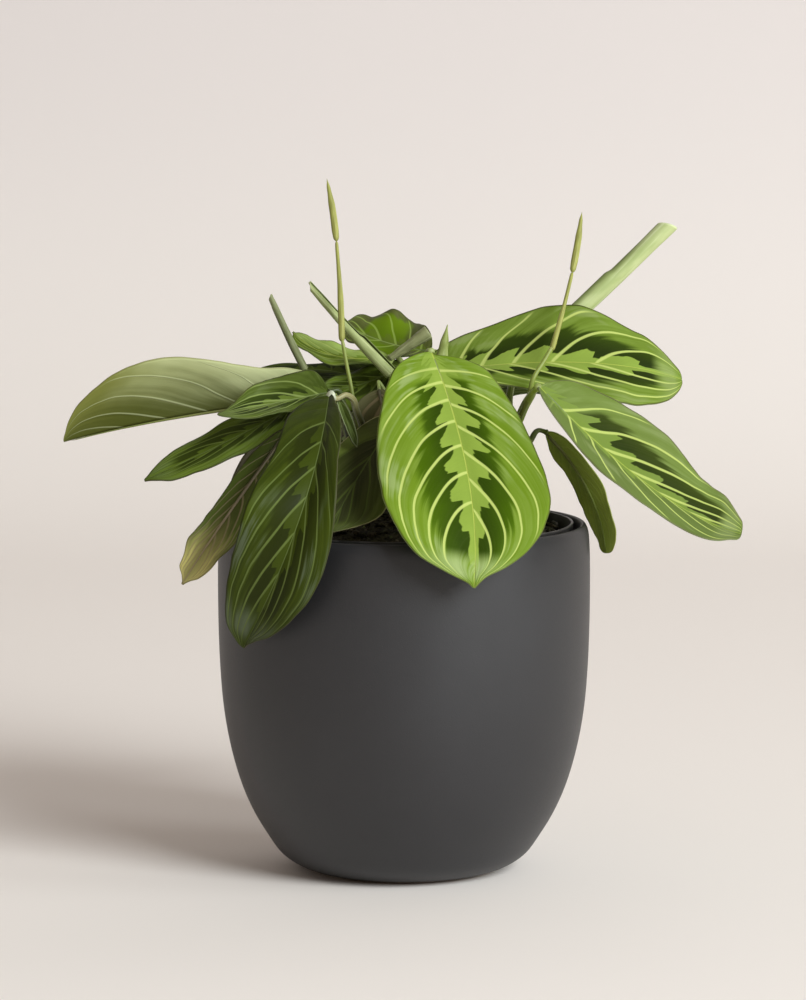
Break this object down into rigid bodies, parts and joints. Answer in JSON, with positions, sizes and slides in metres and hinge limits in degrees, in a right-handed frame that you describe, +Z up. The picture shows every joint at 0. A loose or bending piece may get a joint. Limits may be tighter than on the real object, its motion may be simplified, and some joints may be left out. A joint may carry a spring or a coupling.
{
  "type": "potted prayer plant",
  "caption": "Prayer plant with herringbone-patterned oval leaves on arching stalks, in soil in a black grower's pot inside a round matte charcoal ceramic pot.",
  "frame": {"origin": "middle of the ceramic pot's flat underside", "axes": "+Z up, +X to the right and -Y towards the viewer when the broad front leaf faces the viewer"},
  "size_m": [0.2975, 0.2281, 0.3071],
  "materials": {
    "charcoal_ceramic": "matte",
    "black_plastic": "satin",
    "potting_soil": "matte",
    "green_stem": "satin",
    "pale_stalk": "satin",
    "lime_leaf": "satin",
    "green_leaf": "satin",
    "dark_leaf": "satin",
    "olive_leaf": "satin",
    "pale_leaf": "satin"
  },
  "bodies": {
    "root": {"pot": "charcoal_ceramic", "nursery_pot": "black_plastic", "soil": "potting_soil", "shoot_left": "green_stem", "shoot_centre": "green_stem", "shoot_right": "green_stem", "flower_stalk_left": "pale_stalk", "flower_stalk_right": "pale_stalk", "rolled_leaf_right": "pale_stalk", "rolled_leaf_left": "pale_stalk", "rolled_leaf_small": "pale_stalk", "leaf_front": "lime_leaf", "leaf_right_upper": "lime_leaf", "leaf_right_lower": "lime_leaf", "leaf_right_small": "olive_leaf", "leaf_front_left": "dark_leaf", "leaf_left_pale": "pale_leaf", "leaf_left_upper": "green_leaf", "leaf_left_middle": "dark_leaf", "leaf_left_brown": "olive_leaf", "leaf_top_left": "green_leaf", "leaf_top_back": "green_leaf", "leaf_centre_low": "dark_leaf", "leaf_back_left": "green_leaf", "leaf_back_left_low": "dark_leaf", "leaf_back_centre": "lime_leaf", "leaf_back_right": "green_leaf", "leaf_back_right_low": "dark_leaf"}
  },
  "joints": []
}
